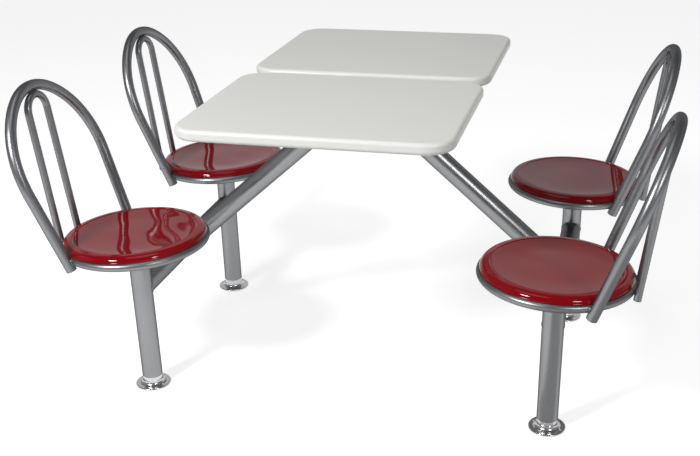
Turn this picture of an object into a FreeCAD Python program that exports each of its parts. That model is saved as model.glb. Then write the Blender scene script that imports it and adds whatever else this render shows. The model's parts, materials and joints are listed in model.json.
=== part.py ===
import FreeCAD, Part
import math
import os

# Table with four swivel seats on one tube frame.
# Millimetres and degrees. +X runs along the seat-to-seat length, +Y from the front top to the
# rear top, +Z up. The origin is on the floor, in the middle of the four posts.

Vector = FreeCAD.Vector
up = Vector(0, 0, 1)
across_seat = Vector(0, 1, 0)

# Table tops
top_height = 753.0                  # floor to the upper face
top_width = 600.0                   # along X
top_depth = 498.0                   # each top, along Y
top_thickness = 25.4
top_gap = 25.4                      # between the two tops
top_corner_radius = 62.0
top_edge_radius = 9.0               # rounding of the upper and the lower rim

# Posts, rails and arms, all of one round tube
post_x = 504.0                      # post axis to the middle of the table
post_y = 298.0
post_drop = 31.0                    # post's upper end below the seat ring's middle plane
tube_diameter = 50.8
tube_wall = 3.0
rail_height = 273.0                 # rail axis above the floor
arm_meeting_drop = 40.0             # from the tops' upper face to where the arms' centre lines cross

# Channel and plates under the tops
spine_depth = 22.0
spine_wall = 4.0
plate_width = 380.0
plate_depth = 260.0
plate_thickness = 5.0
plate_corner_radius = 20.0
plate_side_band = 45.0              # steel left outside a window, towards the plate's ends
plate_end_band = 60.0               # steel left in front of and behind a window
plate_spine_margin = 20.0           # steel left beside the channel
window_corner_radius = 12.0

# Screws that hold the tops
top_screw_radius = 2.5
top_screw_grip = 15.0               # length inside the top
top_screw_head_radius = 5.0
top_screw_head_height = 2.8
top_screw_inset = 22.0              # from the plate's edges
screw_head_rounding = 0.6           # share of a head's height that is rounded over

# Floor flanges
flange_radius = 44.45
flange_thickness = 6.0
flange_edge_radius = 2.0
flange_flare_radius = 10.0          # hollow between the upright neck and the disc
flange_neck_height = 28.0           # the post's lower end rests here
flange_neck_inset = 0.8             # the neck is this much slimmer than the post
flange_spigot_height = 30.0
flange_bore_radius = 15.0
flange_hole_circle_radius = 35.0
flange_hole_radius = 3.3
flange_hole_count = 4
flange_hole_turn = -22.5            # first hole's direction against +X
flange_seat_radius = 6.0            # flat seat round each screw hole

# Bearing housing in each post top
housing_depth = 50.0
housing_cap_height = 6.0
housing_edge_radius = 1.5
press_clearance = 0.05
bush_clearance = 0.02
bush_outer_radius = 16.0
bush_length = 20.0
bush_flange_radius = 18.6
bush_flange_thickness = 2.0

# Spindle that turns in the bushes
spindle_radius = 12.5
spindle_clearance = 0.05
collar_radius = 18.0
end_play = 0.1

# Stop between housing and spindle
swivel_limit = 90.0                 # each way from facing the table
stop_overtravel = 1.0
lug_half_angle = 10.0
lug_inner_radius = 19.5
lug_height = 7.0
sector_outer_radius = 24.6
sector_lift = 0.6                   # above the collar's lower face
sector_thickness = 5.0

# Bolt and washer flange under the spindle
bolt_radius = 6.0
bolt_grip = 24.0
bolt_clearance = 0.05
bolt_flange_radius = 18.0
bolt_flange_thickness = 3.0
bolt_head_across_flats = 18.0
bolt_head_height = 8.0

# Seat ring and the cross inside it
ring_height = 401.0                 # ring centre above the floor
ring_radius = 168.275               # to the middle of the bent bar
ring_bar_radius = 9.525
seat_pitch = 2.0                    # the whole seat leans back about its lateral axis
hub_radius = 55.0
cross_thickness = 8.0
cross_bar_width = 32.0
cross_turn = 45.0                   # bars against the seat's back direction
cross_corner_radius = 10.0

# Moulded seat shell, heights above the ring's middle plane
shell_radius = 172.0
shell_wall = 4.5
shell_lip_width = 9.0
shell_seat_clearance = 0.05
shell_dish_centre = 19.5
shell_dish_edge = 23.6
shell_dish_radius = 146.0           # where the dish meets the low step up to the crest
shell_crest_height = 25.5
shell_crest_radius = 149.5
shell_crest_fall = 2.4              # from the crest to the rim, before the rim is rounded over
shell_dish_rounding = 8.0           # corner radii of the shell's upper side
shell_crest_rounding = 4.0
shell_rim_rounding = 12.5
shell_inner_rounding = 5.0          # inside the rim
boss_radius = 6.0
boss_circle_radius = 110.0
boss_bury = 2.0                     # how far a boss runs into the shell's wall
seat_screw_radius = 2.4
seat_screw_grip = 6.0
seat_screw_head_radius = 4.6
seat_screw_head_height = 2.6
screw_clearance = 0.3
thread_clearance = 0.05

# Outer hoop of the back, drawn in a plane that leans back
hoop_bar_radius = 12.7
hoop_wall = 2.0
hoop_end_bore = 20.0                # depth of the open tube ends
hoop_foot_drop = 22.0               # below the ring's middle plane
hoop_foot_back = 93.0               # behind the swivel axis
hoop_foot_half_width = 150.7
hoop_lean = 17.4
hoop_leg_length = 200.0             # along the leaning plane
hoop_leg_half_width = 172.5         # at the upper end of the straight leg
hoop_reach = 414.5                  # foot to crown along the leaning plane
hoop_crown_radius = 145.0

# Inner hairpin of the back
hairpin_bar_radius = 8.75
hairpin_foot_drop = 18.0            # below the ring's middle plane
hairpin_foot_half_width = 41.0
hairpin_top_half_width = 38.8
hairpin_lean = 4.35
weld_bite = 0.6                     # depth of the saddles where bars are welded together

# Seats: side of the table, end of the table, and where the back points at rest
seats = {
    "front_left": {"side": -1, "end": -1, "rest_heading": 178.0},
    "front_right": {"side": 1, "end": -1, "rest_heading": -2.0},
    "rear_left": {"side": -1, "end": 1, "rest_heading": 177.5},
    "rear_right": {"side": 1, "end": 1, "rest_heading": 6.0},
}

# Distance within which two points or heights count as one
same_place = 1e-6

# Sizes that follow from those above
tube_radius = tube_diameter / 2
tube_bore_radius = tube_radius - tube_wall
post_top = ring_height - post_drop
arm_meeting_height = top_height - arm_meeting_drop
hoop_foot_height = ring_height - hoop_foot_drop
top_underside = top_height - top_thickness
top_centre_y = (top_gap + top_depth) / 2
plate_underside = top_underside - plate_thickness
spine_underside = plate_underside - spine_depth
spine_end = top_centre_y + plate_depth / 2
housing_top = post_top + housing_cap_height
housing_bottom = post_top - housing_depth
collar_bottom = housing_top + bush_flange_thickness
spindle_bottom = housing_bottom - bush_flange_thickness - end_play
ring_top = ring_height + ring_bar_radius
cross_underside = ring_height - cross_thickness / 2
cross_top = ring_height + cross_thickness / 2


def cylinder(start, end, radius):
    axis = end - start
    return Part.makeCylinder(radius, axis.Length, start, axis)


def upright(radius, bottom, top, x=0.0, y=0.0):
    return cylinder(Vector(x, y, bottom), Vector(x, y, top), radius)


def unit(vector):
    return vector * (1 / vector.Length)


def arc_about(centre, start, end):
    # Shorter circular arc from start to end about a known centre
    radius = (start - centre).Length
    middle = centre + unit((start - centre) + (end - centre)) * radius
    return Part.Arc(start, middle, end).toShape()


def corner_tangents(before, corner, after, radius):
    # Ends and centre of the arc that rounds one corner of an outline
    to_before = unit(before - corner)
    to_after = unit(after - corner)
    half_angle = to_before.getAngle(to_after) / 2
    reach = radius / math.tan(half_angle)
    centre = corner + unit(to_before + to_after) * (radius / math.sin(half_angle))
    return corner + to_before * reach, corner + to_after * reach, centre


def rounded_outline(corners):
    # Closed wire through (point, radius) corners, where radius 0 leaves a corner sharp
    edges = []
    legs = []
    for index, (corner, radius) in enumerate(corners):
        before = corners[index - 1][0]
        after = corners[(index + 1) % len(corners)][0]
        if radius > 0:
            start, end, centre = corner_tangents(before, corner, after, radius)
            edges.append(arc_about(centre, start, end))
            legs.append((start, end))
        else:
            legs.append((corner, corner))
    for index, leg in enumerate(legs):
        following = legs[(index + 1) % len(legs)]
        if (following[0] - leg[1]).Length > same_place:
            edges.append(Part.makeLine(leg[1], following[0]))
    return Part.Wire(Part.__sortEdges__(edges))


def turned(profile):
    # Solid of revolution about +Z from (radius, height, corner radius) points
    corners = [(Vector(radius, 0, height), rounding) for radius, height, rounding in profile]
    face = Part.Face(rounded_outline(corners))
    return face.revolve(Vector(0, 0, 0), up, 360)


def rounded_plate(width, depth, corner_radius, bottom, thickness, x=0.0, y=0.0):
    corners = []
    for side, end in ((-1, -1), (1, -1), (1, 1), (-1, 1)):
        corners.append((Vector(x + side * width / 2, y + end * depth / 2, bottom), corner_radius))
    return Part.Face(rounded_outline(corners)).extrude(up * thickness)


def ring_sector(inner_radius, outer_radius, bottom, height, middle_angle, half_angle):
    corners = (
        Vector(inner_radius, 0, bottom),
        Vector(outer_radius, 0, bottom),
        Vector(outer_radius, 0, bottom + height),
        Vector(inner_radius, 0, bottom + height),
    )
    face = Part.Face(Part.makePolygon(list(corners) + [corners[0]]))
    sector = face.revolve(Vector(0, 0, 0), up, 2 * half_angle)
    sector.rotate(Vector(0, 0, 0), up, middle_angle - half_angle)
    return sector


def pan_screw(point, radius, length, head_radius, head_height):
    # Screw that points up, with the face under its head at the given point
    profile = (
        (0, -head_height, 0),
        (head_radius, -head_height, head_height * screw_head_rounding),
        (head_radius, 0, 0),
        (radius, 0, 0),
        (radius, length - radius, 0),
        (0, length, 0),
    )
    screw = turned(profile)
    screw.translate(point)
    return screw


def swept_bar(path, radius):
    start_edge = path.Edges[0]
    start = path.OrderedVertexes[0].Point
    direction = start_edge.tangentAt(start_edge.FirstParameter)
    profile = Part.Wire(Part.makeCircle(radius, start, direction))
    return path.makePipeShell([profile], True, False)


def save(name, shape):
    shape.exportStep(os.path.join("parts", name + ".step"))


# Tops and what carries them

def plate_screw_points():
    points = []
    for side in (-1, 1):
        for end in (-1, 1):
            x = side * (plate_width / 2 - top_screw_inset)
            y = end * (plate_depth / 2 - top_screw_inset)
            points.append((x, y))
    return points


def table_top(end):
    centre_y = end * top_centre_y
    top = rounded_plate(
        top_width, top_depth, top_corner_radius, top_underside, top_thickness, y=centre_y)
    rims = [edge for edge in top.Edges if edge.BoundBox.ZLength < same_place]
    top = top.makeFillet(top_edge_radius, rims)
    for x, y in plate_screw_points():
        pilot_radius = top_screw_radius + thread_clearance
        pilot_top = top_underside + top_screw_grip + thread_clearance
        top = top.cut(upright(pilot_radius, top_underside, pilot_top, x, centre_y + y))
    return top


def top_plate(end):
    centre_y = end * top_centre_y
    plate = rounded_plate(
        plate_width, plate_depth, plate_corner_radius, plate_underside, plate_thickness, y=centre_y)
    window_inner = tube_radius + plate_spine_margin
    window_outer = plate_width / 2 - plate_side_band
    for side in (-1, 1):
        plate = plate.cut(rounded_plate(
            window_outer - window_inner, plate_depth - 2 * plate_end_band, window_corner_radius,
            plate_underside, plate_thickness, side * (window_inner + window_outer) / 2, centre_y))
    for x, y in plate_screw_points():
        hole_radius = top_screw_radius + screw_clearance
        plate = plate.cut(upright(hole_radius, plate_underside, top_underside, x, centre_y + y))
    return plate


def top_screws():
    screws = []
    for end in (-1, 1):
        for x, y in plate_screw_points():
            point = Vector(x, end * top_centre_y + y, plate_underside)
            screws.append(pan_screw(
                point, top_screw_radius, plate_thickness + top_screw_grip,
                top_screw_head_radius, top_screw_head_height))
    return Part.makeCompound(screws)


def top_spine():
    # Channel, open upwards, as wide as the arms that meet under it
    half = tube_radius
    section = (
        (Vector(-half, -spine_end, spine_underside), spine_wall),
        (Vector(half, -spine_end, spine_underside), spine_wall),
        (Vector(half, -spine_end, plate_underside), 0),
        (Vector(half - spine_wall, -spine_end, plate_underside), 0),
        (Vector(half - spine_wall, -spine_end, spine_underside + spine_wall), 0),
        (Vector(spine_wall - half, -spine_end, spine_underside + spine_wall), 0),
        (Vector(spine_wall - half, -spine_end, plate_underside), 0),
        (Vector(-half, -spine_end, plate_underside), 0),
    )
    return Part.Face(rounded_outline(section)).extrude(Vector(0, 2 * spine_end, 0))


# Tube frame

def rail_axis(side):
    start = Vector(side * post_x, -post_y, rail_height)
    end = Vector(side * post_x, post_y, rail_height)
    return start, end


def post(side, end):
    x = side * post_x
    y = end * post_y
    outside = upright(tube_radius, flange_neck_height, post_top, x, y)
    return outside.cut(upright(tube_bore_radius, flange_neck_height, post_top, x, y))


def side_rail(side):
    # Both ends are coped to sit against the round posts
    start, end = rail_axis(side)
    rail = cylinder(start, end, tube_radius)
    for post_end in (-1, 1):
        bottom = rail_height - tube_diameter
        top = rail_height + tube_diameter
        rail = rail.cut(upright(tube_radius, bottom, top, side * post_x, post_end * post_y))
    return rail.cut(cylinder(start, end, tube_bore_radius))


def arm(side):
    # The foot is coped to the rail; the head is cut on the middle plane and under the channel
    foot = Vector(side * post_x, 0, rail_height)
    head = Vector(0, 0, arm_meeting_height)
    beyond = head + unit(head - foot) * tube_diameter
    solid = cylinder(foot, beyond, tube_radius)
    solid = solid.cut(cylinder(*rail_axis(side), tube_radius))
    solid = solid.cut(cylinder(foot, beyond, tube_bore_radius))
    room = Part.makeBox(post_x, 2 * tube_diameter, spine_underside, Vector(0, -tube_diameter, 0))
    if side < 0:
        room.translate(Vector(-post_x, 0, 0))
    return solid.common(room)


def floor_flange():
    neck_radius = tube_radius - flange_neck_inset
    spigot_radius = tube_bore_radius - press_clearance
    spigot_top = flange_neck_height + flange_spigot_height
    flange = turned((
        (flange_bore_radius, 0, 0),
        (flange_radius, 0, flange_edge_radius),
        (flange_radius, flange_thickness, flange_edge_radius),
        (neck_radius, flange_thickness, flange_flare_radius),
        (neck_radius, flange_neck_height, 0),
        (spigot_radius, flange_neck_height, 0),
        (spigot_radius, spigot_top, 0),
        (flange_bore_radius, spigot_top, 0),
    ))
    for index in range(flange_hole_count):
        angle = math.radians(flange_hole_turn + 360 * index / flange_hole_count)
        x = flange_hole_circle_radius * math.cos(angle)
        y = flange_hole_circle_radius * math.sin(angle)
        flange = flange.cut(upright(flange_hole_radius, 0, flange_thickness, x, y))
        flange = flange.cut(upright(
            flange_seat_radius, flange_thickness, flange_neck_height, x, y))
    return flange


# Swivel bearing

def bearing_housing(side):
    bore_radius = bush_outer_radius + bush_clearance
    body_radius = tube_bore_radius - press_clearance
    housing = turned((
        (bore_radius, housing_bottom, 0),
        (body_radius, housing_bottom, housing_edge_radius),
        (body_radius, post_top, 0),
        (tube_radius, post_top, 0),
        (tube_radius, housing_top, housing_edge_radius),
        (bore_radius, housing_top, 0),
    ))
    # The lug stands on the table's side of the axis
    lug_outer_radius = tube_radius - housing_edge_radius
    lug_angle = 180.0 if side > 0 else 0.0
    lug = ring_sector(
        lug_inner_radius, lug_outer_radius, housing_top, lug_height, lug_angle, lug_half_angle)
    return housing.fuse(lug).removeSplitter()


def flanged_bush():
    # Flange down to z = 0, sleeve below it
    return turned((
        (spindle_radius + spindle_clearance, -bush_length, 0),
        (bush_outer_radius, -bush_length, 0),
        (bush_outer_radius, 0, 0),
        (bush_flange_radius, 0, 0),
        (bush_flange_radius, bush_flange_thickness, 0),
        (spindle_radius + spindle_clearance, bush_flange_thickness, 0),
    ))


def swivel_bushes():
    upper = flanged_bush()
    upper.translate(up * housing_top)
    lower = flanged_bush()
    lower.rotate(Vector(0, 0, 0), across_seat, 180)
    lower.translate(up * housing_bottom)
    return Part.makeCompound([upper, lower])


def swivel_spindle():
    tapped_radius = bolt_radius + bolt_clearance
    tapped_top = spindle_bottom + bolt_grip + bolt_clearance
    collar_top = ring_height
    spindle = turned((
        (0, tapped_top, 0),
        (tapped_radius, tapped_top, 0),
        (tapped_radius, spindle_bottom, 0),
        (spindle_radius, spindle_bottom, 0),
        (spindle_radius, collar_bottom, 0),
        (collar_radius, collar_bottom, 0),
        (collar_radius, collar_top, 0),
        (0, collar_top, 0),
    ))
    # The sector blocks every heading that the stop lug must not reach
    sector_half_angle = 180 - swivel_limit - stop_overtravel - lug_half_angle
    sector = ring_sector(
        collar_radius, sector_outer_radius, collar_bottom + sector_lift, sector_thickness,
        0, sector_half_angle)
    spindle = spindle.fuse(sector).removeSplitter()
    # The collar's head follows the pitched underside of the hub
    reach = 2 * collar_radius
    above_hub = Part.makeBox(
        2 * reach, 2 * reach, reach, Vector(-reach, -reach, cross_underside))
    return spindle.cut(pitched(above_hub))


def spindle_retainer():
    washer_bottom = spindle_bottom - bolt_flange_thickness
    washer = upright(bolt_flange_radius, washer_bottom, spindle_bottom)
    shank = upright(bolt_radius, washer_bottom, spindle_bottom + bolt_grip)
    head_radius = bolt_head_across_flats / math.sqrt(3)
    corners = []
    for index in range(6):
        angle = math.radians(60 * index)
        corners.append(Vector(
            head_radius * math.cos(angle), head_radius * math.sin(angle),
            washer_bottom - bolt_head_height))
    head = Part.Face(Part.makePolygon(corners + [corners[0]])).extrude(up * bolt_head_height)
    return washer.fuse([shank, head]).removeSplitter()


# Seat, modelled with its back towards +X and its swivel axis on the Z axis

def pitched(shape):
    shape.rotate(Vector(0, 0, ring_height), across_seat, seat_pitch)
    return shape


def seat_ring():
    return Part.makeTorus(ring_radius, ring_bar_radius, Vector(0, 0, ring_height), up)


def cross_screw_points():
    points = []
    for quarter in range(4):
        angle = math.radians(cross_turn + 90 * quarter)
        points.append((boss_circle_radius * math.cos(angle), boss_circle_radius * math.sin(angle)))
    return points


def seat_cross(ring):
    cross = upright(hub_radius, cross_underside, cross_top)
    for turn in (cross_turn, cross_turn + 90):
        bar = Part.makeBox(
            2 * ring_radius, cross_bar_width, cross_thickness,
            Vector(-ring_radius, -cross_bar_width / 2, cross_underside))
        bar.rotate(Vector(0, 0, 0), up, turn)
        cross = cross.fuse(bar)
    cross = cross.removeSplitter()
    hub_corners = []
    for edge in cross.Edges:
        middle = edge.CenterOfMass
        upright_edge = edge.BoundBox.ZLength > cross_thickness / 2
        on_hub = abs(math.hypot(middle.x, middle.y) - hub_radius) < same_place
        if upright_edge and on_hub:
            hub_corners.append(edge)
    cross = cross.makeFillet(cross_corner_radius, hub_corners)
    cross = cross.cut(ring)
    for x, y in cross_screw_points():
        hole_radius = seat_screw_radius + screw_clearance
        cross = cross.cut(upright(hole_radius, cross_underside, cross_top, x, y))
    return cross


def seat_shell():
    lip_bottom = ring_top + shell_seat_clearance
    rim_height = ring_height + shell_crest_height - shell_crest_fall
    lip_inner_radius = shell_radius - shell_lip_width
    inner_dish_radius = shell_dish_radius + shell_wall / 2
    # The dish is one shallow arc, level in the middle
    dish_slope = 2 * (shell_dish_edge - shell_dish_centre) / shell_dish_radius
    dish_curve = (shell_dish_radius / 2 - shell_dish_rounding) / math.tan(math.atan(dish_slope) / 2)
    shell = turned((
        (0, ring_height + shell_dish_centre, 0),
        (shell_dish_radius / 2, ring_height + shell_dish_centre, dish_curve),
        (shell_dish_radius, ring_height + shell_dish_edge, shell_dish_rounding),
        (shell_crest_radius, ring_height + shell_crest_height, shell_crest_rounding),
        (shell_radius, rim_height, shell_rim_rounding),
        (shell_radius, lip_bottom, 0),
        (lip_inner_radius, lip_bottom, 0),
        (lip_inner_radius, rim_height - shell_wall, shell_inner_rounding),
        (inner_dish_radius, ring_height + shell_dish_edge - shell_wall, 0),
        (shell_dish_radius / 2, ring_height + shell_dish_centre - shell_wall, dish_curve),
        (0, ring_height + shell_dish_centre - shell_wall, 0),
    ))
    for x, y in cross_screw_points():
        wall_underside = ring_height + shell_dish_centre - shell_wall + (
            dish_slope * (boss_circle_radius - shell_dish_radius / 2))
        boss = upright(boss_radius, cross_top, wall_underside + boss_bury, x, y)
        shell = shell.fuse(boss)
    shell = shell.removeSplitter()
    for x, y in cross_screw_points():
        pilot_radius = seat_screw_radius + thread_clearance
        pilot_top = cross_top + seat_screw_grip + thread_clearance
        shell = shell.cut(upright(pilot_radius, cross_top, pilot_top, x, y))
    return shell


def seat_screws():
    screws = []
    for x, y in cross_screw_points():
        point = Vector(x, y, cross_underside)
        screws.append(pan_screw(
            point, seat_screw_radius, cross_thickness + seat_screw_grip,
            seat_screw_head_radius, seat_screw_head_height))
    return Part.makeCompound(screws)


def hoop_point(across, along):
    lean = math.radians(hoop_lean)
    return Vector(
        hoop_foot_back + along * math.sin(lean), across, hoop_foot_height + along * math.cos(lean))


def hoop_path():
    # Straight legs, a shoulder arc each side and a crown arc, all tangent to each other
    foot = Vector(hoop_foot_half_width, 0, 0)
    leg_end = Vector(hoop_leg_half_width, hoop_leg_length, 0)
    leg = unit(leg_end - foot)
    inwards = Vector(-leg.y, leg.x, 0)
    crown_centre = Vector(0, hoop_reach - hoop_crown_radius, 0)
    offset = crown_centre - leg_end
    shoulder_radius = (offset.dot(offset) - hoop_crown_radius ** 2) / (
        2 * (offset.dot(inwards) - hoop_crown_radius))
    shoulder_centre = leg_end + inwards * shoulder_radius
    joint = crown_centre + (crown_centre - shoulder_centre) * (
        hoop_crown_radius / (shoulder_radius - hoop_crown_radius))
    shoulder_middle = shoulder_centre + unit(
        (leg_end - shoulder_centre) + (joint - shoulder_centre)) * shoulder_radius
    crown = Vector(0, hoop_reach, 0)
    right = [hoop_point(point.x, point.y) for point in (foot, leg_end, shoulder_middle, joint)]
    left = [hoop_point(-point.x, point.y) for point in (foot, leg_end, shoulder_middle, joint)]
    return Part.Wire([
        Part.makeLine(right[0], right[1]),
        Part.Arc(right[1], right[2], right[3]).toShape(),
        Part.Arc(right[3], hoop_point(crown.x, crown.y), left[3]).toShape(),
        Part.Arc(left[3], left[2], left[1]).toShape(),
        Part.makeLine(left[1], left[0]),
    ])


def hoop_back(ring):
    path = hoop_path()
    hoop = swept_bar(path, hoop_bar_radius)
    for side in (-1, 1):
        foot = hoop_point(side * hoop_foot_half_width, 0)
        leg_end = hoop_point(side * hoop_leg_half_width, hoop_leg_length)
        bore_end = foot + unit(leg_end - foot) * hoop_end_bore
        hoop = hoop.cut(cylinder(foot, bore_end, hoop_bar_radius - hoop_wall))
    return hoop.cut(ring)


def back_hairpin(ring, hoop):
    # Each leg lies against the outside of the ring, and the bend lies under the hoop's crown
    lean = math.radians(hairpin_lean)
    weld_radius = ring_radius + ring_bar_radius + hairpin_bar_radius - weld_bite
    weld_back = math.sqrt(weld_radius ** 2 - hairpin_foot_half_width ** 2)
    crown = hoop_point(0, hoop_reach)
    rise = Vector(math.sin(lean), 0, math.cos(lean))
    weld = Vector(weld_back, 0, ring_height)
    along_crown = (crown - weld).dot(rise)
    beside_crown = (crown - weld - rise * along_crown).Length
    spacing = hoop_bar_radius + hairpin_bar_radius - weld_bite
    top = along_crown - math.sqrt(spacing ** 2 - beside_crown ** 2)
    taper = (hairpin_foot_half_width - hairpin_top_half_width) / top
    foot_half_width = hairpin_foot_half_width + taper * hairpin_foot_drop

    def place(across, along):
        return weld + rise * along + across_seat * across

    # The bend is a circle tangent to both legs, whose highest point is the top
    slant = math.atan(taper)
    bend_radius = (hairpin_foot_half_width * math.cos(slant) - top * math.sin(slant)) / (
        1 - math.sin(slant))
    bend_centre = top - bend_radius
    touch_across = bend_radius * math.cos(slant)
    touch_along = bend_centre + bend_radius * math.sin(slant)
    path = Part.Wire([
        Part.makeLine(place(foot_half_width, -hairpin_foot_drop), place(touch_across, touch_along)),
        Part.Arc(
            place(touch_across, touch_along), place(0, top),
            place(-touch_across, touch_along)).toShape(),
        Part.makeLine(place(-touch_across, touch_along), place(-foot_half_width, -hairpin_foot_drop)),
    ])
    return swept_bar(path, hairpin_bar_radius).cut(ring).cut(hoop)


def seat_pieces():
    ring = seat_ring()
    hoop = hoop_back(ring)
    pieces = {
        "seat_ring": ring,
        "seat_cross": seat_cross(ring),
        "hoop_back": hoop,
        "back_hairpin": back_hairpin(ring, hoop),
        "seat_shell": seat_shell(),
        "seat_screws": seat_screws(),
    }
    for shape in pieces.values():
        pitched(shape)
    pieces["swivel_spindle"] = swivel_spindle()
    pieces["spindle_retainer"] = spindle_retainer()
    return pieces


def build():
    os.makedirs("parts", exist_ok=True)
    for end, end_name in ((-1, "front"), (1, "rear")):
        save("table_top_" + end_name, table_top(end))
        save("top_plate_" + end_name, top_plate(end))
    save("top_screws", top_screws())
    save("top_spine", top_spine())
    for side, side_name in ((-1, "left"), (1, "right")):
        save("side_rail_" + side_name, side_rail(side))
        save("arm_" + side_name, arm(side))
    flange = floor_flange()
    bushes = swivel_bushes()
    pieces = seat_pieces()
    for name, seat in seats.items():
        place = Vector(seat["side"] * post_x, seat["end"] * post_y, 0)
        save("post_" + name, post(seat["side"], seat["end"]))
        save("floor_flange_" + name, flange.translated(place))
        save("bearing_housing_" + name, bearing_housing(seat["side"]).translated(place))
        save("swivel_bushes_" + name, bushes.translated(place))
        for piece_name, shape in pieces.items():
            turned_shape = shape.rotated(Vector(0, 0, 0), up, seat["rest_heading"])
            save(piece_name + "_" + name, turned_shape.translated(place))


build()
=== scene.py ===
import json
import math

import bmesh
import bpy
from mathutils import Matrix, Vector
from mathutils.bvhtree import BVHTree


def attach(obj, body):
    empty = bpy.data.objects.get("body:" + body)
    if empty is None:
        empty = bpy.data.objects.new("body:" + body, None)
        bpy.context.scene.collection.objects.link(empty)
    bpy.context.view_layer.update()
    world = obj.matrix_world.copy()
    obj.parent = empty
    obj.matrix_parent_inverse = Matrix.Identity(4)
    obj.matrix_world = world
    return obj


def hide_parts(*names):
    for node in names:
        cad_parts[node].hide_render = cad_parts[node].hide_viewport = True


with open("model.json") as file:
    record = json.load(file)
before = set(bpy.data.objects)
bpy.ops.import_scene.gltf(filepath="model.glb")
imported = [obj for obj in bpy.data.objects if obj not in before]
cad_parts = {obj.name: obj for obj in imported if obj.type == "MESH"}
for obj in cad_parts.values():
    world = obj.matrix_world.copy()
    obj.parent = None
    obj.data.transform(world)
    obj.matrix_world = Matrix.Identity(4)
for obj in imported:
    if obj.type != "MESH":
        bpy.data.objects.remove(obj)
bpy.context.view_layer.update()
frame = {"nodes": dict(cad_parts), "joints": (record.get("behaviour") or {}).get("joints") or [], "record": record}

nodes = frame["nodes"]
print("frame loaded:", len(nodes), "nodes")

seatNames = ("front_left", "front_right", "rear_left", "rear_right")
mm = 0.001


def meshOf(name, verts, faces):
    mesh = bpy.data.meshes.new(name)
    mesh.from_pydata([tuple(v) for v in verts], [], faces)
    mesh.update()
    return mesh


def addNode(tree, kind, **settings):
    node = tree.nodes.new(kind)
    for key, value in settings.items():
        setattr(node, key, value)
    return node


def feed(tree, socket, value):
    # A socket takes either another socket or a plain value
    if isinstance(value, bpy.types.NodeSocket):
        tree.links.new(value, socket)
    else:
        socket.default_value = value


def calc(tree, operation, first, second=0.5, third=0.5):
    node = addNode(tree, "ShaderNodeMath", operation=operation)
    for socket, value in zip(node.inputs, (first, second, third)):
        feed(tree, socket, value)
    return node.outputs[0]


def centred(tree, mask):
    # A mask that runs from 0 to 1, moved to swing about 0
    return calc(tree, "SUBTRACT", mask, 0.5)


def noise(tree, vector, scale, detail=2.0):
    node = addNode(tree, "ShaderNodeTexNoise")
    tree.links.new(vector, node.inputs["Vector"])
    feed(tree, node.inputs["Scale"], scale)
    node.inputs["Detail"].default_value = detail
    return node.outputs["Fac"]


# Effects that several finishes share

effects = {
    "fineRatio": 4.3,                   # how much finer the gloss drifts than the shade
    "fineDetail": 4.0,
    "leastRoughness": 0.02,
    "peelRatio": 2.7,                   # how much finer the peel's second pebbling is
    "peelShare": 0.35,                  # and its height beside the first
    "peelDetail": 1.0,
}


def newGroup(name, inputs, outputs):
    group = bpy.data.node_groups.new(name, "ShaderNodeTree")
    for label, kind, value in inputs:
        socket = group.interface.new_socket(name=label, in_out="INPUT", socket_type=kind)
        socket.default_value = value
    for label, kind in outputs:
        group.interface.new_socket(name=label, in_out="OUTPUT", socket_type=kind)
    return group, group.nodes.new("NodeGroupInput").outputs, group.nodes.new("NodeGroupOutput").inputs


floatKind, colorKind, vectorKind = "NodeSocketFloat", "NodeSocketColor", "NodeSocketVector"


def makeSurfaceDrift():
    # Slow change of shade and gloss over a surface
    inputs = (("Color", colorKind, (0.5, 0.5, 0.5, 1)), ("Shade", floatKind, 0.05),
              ("Roughness", floatKind, 0.4), ("Gloss Drift", floatKind, 0.05), ("Scale", floatKind, 12.0))
    outputs = (("Color", colorKind), ("Roughness", floatKind))
    group, given, result = newGroup("surfaceDrift", inputs, outputs)
    place = addNode(group, "ShaderNodeTexCoord").outputs["Object"]
    broad = centred(group, noise(group, place, given["Scale"]))
    value = calc(group, "MULTIPLY_ADD", broad, given["Shade"], 1.0)
    tint = addNode(group, "ShaderNodeHueSaturation")
    feed(group, tint.inputs["Color"], given["Color"])
    feed(group, tint.inputs["Value"], value)
    group.links.new(tint.outputs["Color"], result["Color"])
    fineScale = calc(group, "MULTIPLY", given["Scale"], effects["fineRatio"])
    fine = centred(group, noise(group, place, fineScale, effects["fineDetail"]))
    rough = calc(group, "MULTIPLY_ADD", fine, given["Gloss Drift"], given["Roughness"])
    group.links.new(calc(group, "MAXIMUM", rough, effects["leastRoughness"]), result["Roughness"])
    return group


def makeOrangePeel():
    # Soft pebbling of a sprayed or moulded gloss surface
    group, given, result = newGroup("orangePeel", (("Scale", floatKind, 300.0),), (("Height", floatKind),))
    place = addNode(group, "ShaderNodeTexCoord").outputs["Object"]
    coarse = noise(group, place, given["Scale"], effects["peelDetail"])
    finerScale = calc(group, "MULTIPLY", given["Scale"], effects["peelRatio"])
    finer = noise(group, place, finerScale, effects["peelDetail"])
    group.links.new(calc(group, "MULTIPLY_ADD", finer, effects["peelShare"], coarse), result["Height"])
    return group


def makeMetalFlake():
    # Tiny flakes in the paint, each a little lighter or darker than the next
    inputs = (("Scale", floatKind, 1800.0), ("Amount", floatKind, 0.2))
    group, given, result = newGroup("metalFlake", inputs, (("Shade", floatKind),))
    place = addNode(group, "ShaderNodeTexCoord").outputs["Object"]
    cells = addNode(group, "ShaderNodeTexVoronoi")
    group.links.new(place, cells.inputs["Vector"])
    feed(group, cells.inputs["Scale"], given["Scale"])
    flake = addNode(group, "ShaderNodeSeparateColor")
    group.links.new(cells.outputs["Color"], flake.inputs["Color"])
    swing = centred(group, flake.outputs["Red"])
    group.links.new(calc(group, "MULTIPLY_ADD", swing, given["Amount"], 1.0), result["Shade"])
    return group


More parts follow.
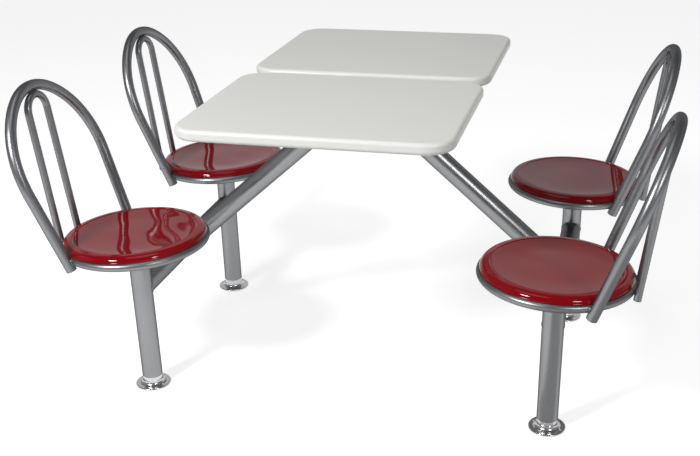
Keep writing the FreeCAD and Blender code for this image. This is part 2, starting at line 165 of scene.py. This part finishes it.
def makeTurnedLines():
    # Fine grooves left by turning; the four swivels' axes mirror each other, so one centre serves all
    centre = tuple(abs(v) for v in frame["joints"][0]["pos_m"][:2]) + (0,)
    inputs = (("Centre", vectorKind, centre), ("Spacing", floatKind, 0.0006), ("Amount", floatKind, 0.1))
    outputs = (("Height", floatKind), ("Roughness", floatKind))
    group, given, result = newGroup("turnedLines", inputs, outputs)
    place = addNode(group, "ShaderNodeTexCoord").outputs["Object"]
    mirrored = addNode(group, "ShaderNodeVectorMath", operation="ABSOLUTE")
    group.links.new(place, mirrored.inputs[0])
    offset = addNode(group, "ShaderNodeVectorMath", operation="SUBTRACT")
    group.links.new(mirrored.outputs[0], offset.inputs[0])
    group.links.new(given["Centre"], offset.inputs[1])
    axes = addNode(group, "ShaderNodeSeparateXYZ")
    group.links.new(offset.outputs[0], axes.inputs[0])
    squares = [calc(group, "MULTIPLY", axes.outputs[axis], axes.outputs[axis]) for axis in ("X", "Y")]
    radius = calc(group, "SQRT", calc(group, "ADD", *squares))
    turns = calc(group, "DIVIDE", calc(group, "ADD", radius, axes.outputs["Z"]), given["Spacing"])
    wave = calc(group, "SINE", calc(group, "MULTIPLY", turns, 2 * math.pi))
    group.links.new(wave, result["Height"])
    group.links.new(calc(group, "MULTIPLY", wave, given["Amount"]), result["Roughness"])
    return group


groups = {
    "drift": makeSurfaceDrift(),
    "peel": makeOrangePeel(),
    "flake": makeMetalFlake(),
    "turned": makeTurnedLines(),
}
print("shared effects made:", len(groups))


def placeGroup(tree, key, **values):
    # Gloss_Drift here is the input named Gloss Drift
    node = addNode(tree, "ShaderNodeGroup", node_tree=groups[key])
    for label, value in values.items():
        feed(tree, node.inputs[label.replace("_", " ")], value)
    return node


# Finishes

def newMaterial(name, constants):
    material = bpy.data.materials.new(name)
    material.use_nodes = True
    tree = material.node_tree
    shader = tree.nodes["Principled BSDF"]
    for label, value in constants.items():
        shader.inputs[label].default_value = value
    return material, tree, shader


def bump(tree, shader, height, distance):
    node = addNode(tree, "ShaderNodeBump")
    node.inputs["Strength"].default_value = 1.0
    node.inputs["Distance"].default_value = distance
    tree.links.new(height, node.inputs["Height"])
    tree.links.new(node.outputs["Normal"], shader.inputs["Normal"])


def placeDrift(tree, look):
    return placeGroup(tree, "drift", Color=look["color"], Shade=look["shade"], Roughness=look["roughness"],
                      Gloss_Drift=look["glossDrift"], Scale=look["driftScale"])


def silverPaint(name, look):
    material, tree, shader = newMaterial(name, {
        "Metallic": look["metallic"], "Coat Weight": look["coat"], "Coat Roughness": look["coatRoughness"],
        "Coat IOR": look["coatIor"], "Specular Tint": look["edge"]})
    drift = placeDrift(tree, look)
    flake = placeGroup(tree, "flake", Scale=look["flakeScale"], Amount=look["flake"])
    sparkle = addNode(tree, "ShaderNodeHueSaturation")
    tree.links.new(drift.outputs["Color"], sparkle.inputs["Color"])
    tree.links.new(flake.outputs["Shade"], sparkle.inputs["Value"])
    tree.links.new(sparkle.outputs["Color"], shader.inputs["Base Color"])
    tree.links.new(drift.outputs["Roughness"], shader.inputs["Roughness"])
    peel = placeGroup(tree, "peel", Scale=look["peelScale"])
    bump(tree, shader, peel.outputs["Height"], look["peel"])
    return material


def mouldedGloss(name, look):
    material, tree, shader = newMaterial(name, {"Metallic": 0.0, "IOR": look["ior"]})
    drift = placeDrift(tree, look)
    tree.links.new(drift.outputs["Color"], shader.inputs["Base Color"])
    tree.links.new(drift.outputs["Roughness"], shader.inputs["Roughness"])
    ripple = placeGroup(tree, "peel", Scale=look["rippleScale"])
    bump(tree, shader, ripple.outputs["Height"], look["ripple"])
    return material


def polishedMetal(name, look):
    material, tree, shader = newMaterial(name, {"Metallic": 1.0})
    drift = placeDrift(tree, look)
    tree.links.new(drift.outputs["Color"], shader.inputs["Base Color"])
    if look["lines"] > 0:
        relief = placeGroup(tree, "turned", Spacing=look["spacing"], Amount=look["lines"])
        rough = calc(tree, "ADD", drift.outputs["Roughness"], relief.outputs["Roughness"])
    else:
        relief = placeGroup(tree, "peel", Scale=look["peelScale"])
        rough = drift.outputs["Roughness"]
    tree.links.new(rough, shader.inputs["Roughness"])
    bump(tree, shader, relief.outputs["Height"], look["relief"])
    return material


paintLook = {
    "color": (0.284, 0.288, 0.298, 1), "shade": 0.10,
    "edge": (0.03, 0.03, 0.04, 1),      # tint of the glancing gloss
    "metallic": 0.94, "roughness": 0.33, "glossDrift": 0.06, "driftScale": 9.0,
    "coat": 0.20, "coatRoughness": 0.20, "coatIor": 1.5,
    "flake": 0.22, "flakeScale": 1500.0,
    "peel": 0.00004, "peelScale": 260.0,
}
seatPaintLook = dict(paintLook, color=(0.242, 0.246, 0.257, 1), roughness=0.36)
hiddenPaintLook = dict(paintLook, color=(0.26, 0.265, 0.27, 1), metallic=0.5, roughness=0.5, coat=0.1)
topLook = {
    "color": (0.638, 0.643, 0.613, 1), "shade": 0.02, "ior": 1.40,
    "roughness": 0.30, "glossDrift": 0.05, "driftScale": 5.0,
    "ripple": 0.00005, "rippleScale": 60.0,
}
redLook = {
    "color": (0.186, 0.0008, 0.0045, 1), "shade": 0.06, "ior": 1.36,
    "roughness": 0.05, "glossDrift": 0.03, "driftScale": 7.0,
    "ripple": 0.00003, "rippleScale": 22.0,
}
chromeLook = {
    "color": (0.62, 0.62, 0.63, 1), "shade": 0.03,
    "roughness": 0.22, "glossDrift": 0.05, "driftScale": 22.0,
    "lines": 0.0,                       # no turned lines, so it has a faint peel
    "peelScale": 180.0, "relief": 0.00002,
}
zincLook = dict(chromeLook, color=(0.62, 0.62, 0.60, 1), roughness=0.30, relief=0.00004)
turnedLook = {
    "color": (0.56, 0.56, 0.57, 1), "shade": 0.05,
    "roughness": 0.26, "glossDrift": 0.08, "driftScale": 22.0,
    "lines": 0.08, "spacing": 0.0007, "relief": 0.00002,
}
bronzeLook = dict(turnedLook, color=(0.55, 0.36, 0.16, 1), roughness=0.34, spacing=0.0009)

finishes = {
    "frame_paint": silverPaint("silverPaint", paintLook),
    "seat_frame_paint": silverPaint("seatSilverPaint", seatPaintLook),
    "support_steel": silverPaint("supportPaint", hiddenPaintLook),
    "table_top": mouldedGloss("mouldedOffWhite", topLook),
    "seat_red": mouldedGloss("glossRed", redLook),
    "flange_chrome": polishedMetal("brightPlating", chromeLook),
    "turned_steel": polishedMetal("turnedSteel", turnedLook),
    "bush_bronze": polishedMetal("bushBronze", bronzeLook),
    "fastener_steel": polishedMetal("zincPlate", zincLook),
}
slotOf = {part["node"]: part["material_slot"] for part in frame["record"]["subparts"]}
for name, node in nodes.items():
    node.data.materials.clear()
    node.data.materials.append(finishes[slotOf[name]])
print("finishes made:", len(finishes))


def newObject(name, mesh, body, slotName):
    # A dressed piece: rides on its body and takes the finish of its slot
    piece = bpy.data.objects.new(name, mesh)
    bpy.context.scene.collection.objects.link(piece)
    mesh.materials.append(finishes[slotName])
    mesh.polygons.foreach_set("use_smooth", [True] * len(mesh.polygons))
    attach(piece, body)
    return piece


# Seat shells: the moulding of the CAD part, with softened lips and the slight waves of a real dish

shell = {                               # millimetres, heights above the ring's middle plane
    "pitch": 2.0,                       # degrees that the seat falls towards its back
    "turns": 192,                       # steps round the rim
    "arcSteps": 6,                      # steps in each rounded corner
    "longestRun": 6.0,                  # straight stretches are divided to this length
    "profile": (                        # radius, height, corner rounding: outwards on top, back below
        (0, 20.0, 0), (108.0, 20.2, 680.0), (145.3, 23.9, 3.0), (147.4, 23.4, 0.9), (149.6, 25.0, 2.5),
        (171.9, 22.8, 14.0), (171.9, 9.6, 0.8), (163.0, 9.6, 0.8), (163.0, 18.6, 5.0), (148.25, 19.1, 2.0),
        (108.0, 15.6, 680.0), (0, 15.4, 0)),
    "bosses": 4, "bossTurn": 45.0, "bossSides": 24,
    "bossRadius": 6.0, "bossCircle": 110.0, "bossFoot": 4.0, "bossTop": 18.9,
    "waves": (                          # height, length, direction in degrees, start in degrees
        (0.60, 92.0, 48.0, 40.0), (0.24, 118.0, 118.0, 160.0), (0.12, 64.0, 70.0, 300.0)),
    "waveRadius": 138.0,                # the waves die out towards here
    "fadePower": 4,                     # and the higher this is, the later they do
    "calmShare": 0.40,                  # what is left of them on the side of the back
    "calmFrom": -5.0, "calmOver": 22.0,  # where and how quickly they grow calmer
    "waviness": {"front_left": 1.0, "rear_left": 0.45, "front_right": 0.25, "rear_right": 0.2},
}


def headingOf(joint):
    # The backs face away from the table in the middle of each swivel's travel
    outwards = 0.0 if joint["pos_m"][0] > 0 else 180.0
    return outwards - sum(joint["range_deg"]) / 2


def seatPlace(seat):
    joint = next(j for j in frame["joints"] if j["child"] == "seat_" + seat)
    turn = Matrix.Rotation(math.radians(headingOf(joint)), 4, "Z")
    tilt = Matrix.Rotation(math.radians(shell["pitch"]), 4, "Y")
    return Matrix.Translation(joint["pos_m"]) @ turn @ tilt


def roundedLine(corners, arcSteps, longestRun):
    # The outline with an arc in each rounded corner, and long straight stretches divided
    line = [Vector(corners[0][:2])]
    for index in range(1, len(corners) - 1):
        corner, rounding = Vector(corners[index][:2]), corners[index][2]
        toBefore = (Vector(corners[index - 1][:2]) - corner).normalized()
        toAfter = (Vector(corners[index + 1][:2]) - corner).normalized()
        half = toBefore.angle(toAfter) / 2
        centre = corner + (toBefore + toAfter).normalized() * (rounding / math.sin(half))
        start = corner + toBefore * (rounding / math.tan(half)) - centre
        end = corner + toAfter * (rounding / math.tan(half)) - centre
        turn = math.atan2(start.x * end.y - start.y * end.x, start.dot(end))
        for step in range(arcSteps + 1):
            line.append(centre + Matrix.Rotation(turn * step / arcSteps, 2) @ start)
    line.append(Vector(corners[-1][:2]))
    divided = []
    for start, end in zip(line, line[1:]):
        pieces = max(1, math.ceil((end - start).length / longestRun))
        divided += [start.lerp(end, step / pieces) for step in range(pieces)]
    return divided + [line[-1]]


def lathe(profile, turns):
    # Closed skin round the Z axis; the profile starts and ends on the axis
    verts, faces = [], []
    inner = profile[1:-1]
    for point in inner:
        for turn in range(turns):
            angle = 2 * math.pi * turn / turns
            verts.append(Vector((point[0] * math.cos(angle), point[0] * math.sin(angle), point[1])))
    for row in range(len(inner) - 1):
        for turn in range(turns):
            a = row * turns + turn
            b = row * turns + (turn + 1) % turns
            faces.append((a, a + turns, b + turns, b))
    for end, row in ((profile[0], 0), (profile[-1], len(inner) - 1)):
        tip = len(verts)
        verts.append(Vector((0, 0, end[1])))
        for turn in range(turns):
            a = row * turns + turn
            b = row * turns + (turn + 1) % turns
            faces.append((tip, a, b) if row == 0 else (tip, b, a))
    return verts, faces


def dishWave(x, y):
    # Slow unevenness of the moulded dish, most on the side of the table and none at the rim
    fade = max(0.0, 1 - (math.hypot(x, y) / shell["waveRadius"]) ** shell["fadePower"])
    calming = 1 / (1 + math.exp((x - shell["calmFrom"]) / shell["calmOver"]))
    fade *= shell["calmShare"] + (1 - shell["calmShare"]) * calming
    height = 0.0
    for size, length, direction, start in shell["waves"]:
        along = x * math.cos(math.radians(direction)) + y * math.sin(math.radians(direction))
        height += size * math.sin(2 * math.pi * along / length + math.radians(start))
    return height * fade


def addStud(verts, faces, x, y, radius, bottom, top, sides):
    # A short closed cylinder, such as the boss that a screw goes up into
    first = len(verts)
    for height in (bottom, top):
        for side in range(sides):
            angle = 2 * math.pi * side / sides
            verts.append(Vector((x + radius * math.cos(angle), y + radius * math.sin(angle), height)))
    for side in range(sides):
        other = (side + 1) % sides
        faces.append((first + side, first + other, first + sides + other, first + sides + side))
    faces.append(tuple(first + side for side in reversed(range(sides))))
    faces.append(tuple(first + sides + side for side in range(sides)))


def makeShell(seat):
    outline = roundedLine(shell["profile"], shell["arcSteps"], shell["longestRun"])
    verts, faces = lathe(outline, shell["turns"])
    for vert in verts:
        vert.z += shell["waviness"][seat] * dishWave(vert.x, vert.y)
    for boss in range(shell["bosses"]):
        angle = math.radians(shell["bossTurn"] + 360 / shell["bosses"] * boss)
        x, y = shell["bossCircle"] * math.cos(angle), shell["bossCircle"] * math.sin(angle)
        addStud(verts, faces, x, y, shell["bossRadius"], shell["bossFoot"], shell["bossTop"],
                shell["bossSides"])
    place = seatPlace(seat)
    mesh = meshOf("seatShell_" + seat, [place @ (vert * mm) for vert in verts], faces)
    piece = newObject("seatShell_" + seat, mesh, "seat_" + seat, "seat_red")
    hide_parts("seat_shell_" + seat)


for seatName in seatNames:
    makeShell(seatName)
print("seat shells made")


# Weld beads, laid along the outlines of the places where one tube or bar sits on another

weld = {                                # metres
    "radius": 0.0016, "seatRadius": 0.0014,
    "joinWithin": 0.000005,             # corners of a skin this near each other are one
    "touch": 0.0004,                    # how near two skins lie where they meet
    "shortestSeam": 0.010,
    "shortestEdge": 1e-9,
    "spacing": 0.0009,                  # between the rings of a bead
    "fewestRings": 12,
    "sides": 8,
    "ripple": 0.12, "rippleLength": 0.0031,
    "smoothing": 3,                     # rounds of easing the corners of its line
}


def skinOf(name):
    skin = bmesh.new()
    skin.from_mesh(nodes[name].data)
    bmesh.ops.remove_doubles(skin, verts=skin.verts, dist=weld["joinWithin"])
    skin.verts.index_update()
    skin.faces.index_update()
    return skin


def walkLoops(edges):
    # Chains of vertices along edges that form closed outlines
    near = {}
    for edge in edges:
        a, b = edge.verts
        near.setdefault(a.index, []).append(b)
        near.setdefault(b.index, []).append(a)
    loops, used = [], set()
    for edge in edges:
        vert = edge.verts[0]
        if vert.index in used:
            continue
        loop = []
        while vert is not None:
            used.add(vert.index)
            loop.append(vert.co.copy())
            vert = next((v for v in near[vert.index] if v.index not in used), None)
        loops.append(loop)
    return loops


def loopLength(loop):
    return sum((b - a).length for a, b in zip(loop, loop[1:] + loop[:1]))


def seams(name, otherName):
    # The outer outline of each place where the first piece lies on the other
    skin, otherSkin = skinOf(name), skinOf(otherName)
    other = BVHTree.FromBMesh(otherSkin)

    def lies(point):
        return other.find_nearest(point)[3] < weld["touch"]

    onOther = [lies(vert.co) for vert in skin.verts]
    touching = {face.index: face for face in skin.faces
                if all(onOther[vert.index] for vert in face.verts) and lies(face.calc_center_median())}
    found = []
    while touching:                     # taken by number, so that each run lays the same beads
        patch, front = {}, [touching.popitem()[1]]
        while front:
            face = front.pop()
            patch[face.index] = face
            for edge in face.edges:
                for beside in edge.link_faces:
                    if beside.index in touching:
                        front.append(touching.pop(beside.index))
        border = [edge for face in patch.values() for edge in face.edges
                  if sum(beside.index in patch for beside in edge.link_faces) == 1]
        loops = walkLoops(border)
        if loops:
            found.append(max(loops, key=loopLength))
    skin.free()
    otherSkin.free()
    return [loop for loop in found if loopLength(loop) > weld["shortestSeam"]], other


def evenly(loop, spacing):
    # The closed line again, with points at even steps and its corners eased
    lengths = [(b - a).length for a, b in zip(loop, loop[1:] + loop[:1])]
    whole = sum(lengths)
    count = max(weld["fewestRings"], round(whole / spacing))
    points, index, done = [], 0, 0.0
    for step in range(count):
        along = whole * step / count
        while along > done + lengths[index] and index < len(lengths) - 1:
            done += lengths[index]
            index += 1
        a, b = loop[index], loop[(index + 1) % len(loop)]
        points.append(a.lerp(b, (along - done) / max(lengths[index], weld["shortestEdge"])))
    for _ in range(weld["smoothing"]):
        points = [(points[i - 1] + points[i] * 2 + points[(i + 1) % count]) / 4 for i in range(count)]
    return points


def addBead(verts, faces, loop, other, radius):
    # A rippled round bead along the line, half sunk in the pieces that it joins
    points = evenly(loop, weld["spacing"])
    count, sides = len(points), weld["sides"]
    first = len(verts)
    for index, point in enumerate(points):
        along = (points[(index + 1) % count] - points[index - 1]).normalized()
        outwards = other.find_nearest(point)[1]
        across = along.cross(outwards).normalized()
        lift = across.cross(along)
        swell = 1 + weld["ripple"] * math.sin(2 * math.pi * index * weld["spacing"] / weld["rippleLength"])
        for side in range(sides):
            angle = 2 * math.pi * side / sides
            verts.append(point + (across * math.cos(angle) + lift * math.sin(angle)) * (radius * swell))
    for index in range(count):
        ring, following = first + index * sides, first + (index + 1) % count * sides
        for side in range(sides):
            beside = (side + 1) % sides
            faces.append((ring + side, following + side, following + beside, ring + beside))


def makeBeads(name, body, slotName, pairs, radius):
    verts, faces = [], []
    total = 0
    for piece, otherPiece in pairs:
        loops, other = seams(piece, otherPiece)
        total += len(loops)
        for loop in loops:
            addBead(verts, faces, loop, other, radius)
    newObject(name, meshOf(name, verts, faces), body, slotName)
    print(name, "seams:", total)


framePairs = [("arm_" + side, "side_rail_" + side) for side in ("left", "right")]
framePairs += [("side_rail_" + seat.split("_")[1], "post_" + seat) for seat in seatNames]
framePairs += [("arm_left", "arm_right"), ("arm_left", "top_spine"), ("arm_right", "top_spine")]
makeBeads("weldBeads_frame", "root", "frame_paint", framePairs, weld["radius"])
for seatName in seatNames:
    seatPairs = [(first + "_" + seatName, second + "_" + seatName) for first, second in (
        ("hoop_back", "seat_ring"), ("back_hairpin", "seat_ring"), ("back_hairpin", "hoop_back"),
        ("seat_cross", "seat_ring"), ("swivel_spindle", "seat_cross"))]
    makeBeads("weldBeads_" + seatName, "seat_" + seatName, "seat_frame_paint", seatPairs, weld["seatRadius"])


# Floor, light and camera

studio = {
    "floorSize": 30.0, "floorColor": (0.58, 0.58, 0.58, 1), "floorRoughness": 0.9, "floorSpecular": 0.1,
    "floorShade": 0.01, "floorDriftScale": 2.0,
    "floorGlow": 0.70,                  # how far the floor shines by itself, seen directly or in gloss
    "ambient": 0.28,                    # how far the white backdrop lights the object
    "aim": (0, 0, 0.4),                 # where the lamps point
}


def seenDirectly(tree):
    # 1 for what the camera sees and what gloss and glass show of the backdrop, 0 for light
    rays = addNode(tree, "ShaderNodeLightPath").outputs
    reflected = calc(tree, "MAXIMUM", rays["Is Glossy Ray"], rays["Is Transmission Ray"])
    return calc(tree, "MAXIMUM", rays["Is Camera Ray"], reflected)


def makeFloor():
    half = studio["floorSize"] / 2
    corners = [(-half, -half, 0), (half, -half, 0), (half, half, 0), (-half, half, 0)]
    mesh = meshOf("studioFloor", corners, [(0, 1, 2, 3)])
    floor = bpy.data.objects.new("studioFloor", mesh)
    bpy.context.scene.collection.objects.link(floor)
    material, tree, shader = newMaterial("paleFloor", {
        "Roughness": studio["floorRoughness"], "Specular IOR Level": studio["floorSpecular"],
        "Emission Color": (1, 1, 1, 1)})
    drift = placeGroup(tree, "drift", Color=studio["floorColor"], Shade=studio["floorShade"],
                       Scale=studio["floorDriftScale"])
    tree.links.new(drift.outputs["Color"], shader.inputs["Base Color"])
    glow = calc(tree, "MULTIPLY", seenDirectly(tree), studio["floorGlow"])
    tree.links.new(glow, shader.inputs["Emission Strength"])
    mesh.materials.append(material)


def makeWorld():
    world = bpy.data.worlds.new("studioWorld")
    bpy.context.scene.world = world
    world.use_nodes = True
    tree = world.node_tree
    background = tree.nodes["Background"]
    background.inputs["Color"].default_value = (1, 1, 1, 1)
    strength = calc(tree, "MULTIPLY_ADD", seenDirectly(tree), 1.0 - studio["ambient"], studio["ambient"])
    tree.links.new(strength, background.inputs["Strength"])


lamps = {                               # metres and watts
    "keyLamp": {"place": (-1.35, -2.4, 2.45), "size": (0.7, 0.5), "power": 84.0},
    "fillLamp": {"place": (2.3, -2.5, 2.4), "size": (0.66, 0.9), "power": 32.0},
    "topLamp": {"place": (-0.4, -0.3, 3.4), "size": (2.2, 1.4), "power": 10.0},
}
cardDrift = {"shade": 0.15, "scale": 0.8}  # unevenness of a card that gives no shade of its own
cards = {                               # panels that only gloss sees, so that it has tones to reflect
    "rearCard": {
        "place": (0, 3.4, 2.0), "facing": (0, -1, 0), "size": (9.0, 3.0), "tone": 0.62, "shade": 1.3},
    "frontCard": {"place": (0, -3.6, 1.9), "facing": (0, 1, 0), "size": (10.0, 3.6), "tone": 0.13},
    "leftCard": {"place": (-4.2, 0, 1.9), "facing": (1, 0, 0), "size": (7.4, 3.6), "tone": 0.30},
    "rightCard": {"place": (4.2, 0, 1.9), "facing": (-1, 0, 0), "size": (7.4, 3.6), "tone": 0.30},
    "floorFlag": {"place": (0.80, -0.95, 0.004), "facing": (0, 0, 1), "size": (0.96, 1.25), "tone": 0.54},
    "ceilingCard": {"place": (0, 0, 3.7), "facing": (0, 0, -1), "size": (12.0, 12.0), "tone": 0.12},
}


def makeCard(name, card):
    facing = Vector(card["facing"])
    across = Vector((0, 1, 0)) if facing.x else Vector((1, 0, 0))
    rise = facing.cross(across) * (card["size"][1] / 2)
    across = across * (card["size"][0] / 2)
    centre = Vector(card["place"])
    corners = [centre - across - rise, centre + across - rise, centre + across + rise, centre - across + rise]
    mesh = meshOf(name, corners, [(0, 1, 2, 3)])
    panel = bpy.data.objects.new(name, mesh)
    bpy.context.scene.collection.objects.link(panel)
    tone = card["tone"]
    material, tree, shader = newMaterial(name + "Cloth", {
        "Base Color": (0, 0, 0, 1), "Roughness": 1.0, "Specular IOR Level": 0.0, "Emission Strength": 1.0})
    shade = card.get("shade", cardDrift["shade"])
    drift = placeGroup(tree, "drift", Color=(tone, tone, tone, 1), Shade=shade, Scale=cardDrift["scale"])
    tree.links.new(drift.outputs["Color"], shader.inputs["Emission Color"])
    mesh.materials.append(material)
    panel.visible_camera = panel.visible_diffuse = panel.visible_shadow = False


def makeLamp(name, lamp):
    light = bpy.data.lights.new(name, "AREA")
    light.shape = "ELLIPSE"
    light.size, light.size_y = lamp["size"]
    light.energy = lamp["power"]
    piece = bpy.data.objects.new(name, light)
    bpy.context.scene.collection.objects.link(piece)
    piece.location = lamp["place"]
    aim = Vector(studio["aim"]) - Vector(lamp["place"])
    piece.rotation_euler = aim.to_track_quat("-Z", "Y").to_euler()


view = {
    "place": (0.620659, -2.456333, 1.391321),
    "turn": (64.6352, 0.9218, 13.4225),  # degrees
    "lens": 54.3347, "sensor": 36.0,     # millimetres
    "shift": (-0.034798, 0.080273),
}


def makeCamera():
    camera = bpy.data.cameras.new("camera")
    camera.sensor_width = view["sensor"]
    camera.sensor_fit = "HORIZONTAL"
    camera.lens = view["lens"]
    camera.shift_x, camera.shift_y = view["shift"]
    piece = bpy.data.objects.new("camera", camera)
    bpy.context.scene.collection.objects.link(piece)
    piece.location = view["place"]
    piece.rotation_euler = [math.radians(angle) for angle in view["turn"]]
    bpy.context.scene.camera = piece


makeFloor()
makeWorld()
for lampName, lamp in lamps.items():
    makeLamp(lampName, lamp)
for cardName, card in cards.items():
    makeCard(cardName, card)
makeCamera()
bpy.context.scene.view_settings.view_transform = "Standard"
print("studio made")
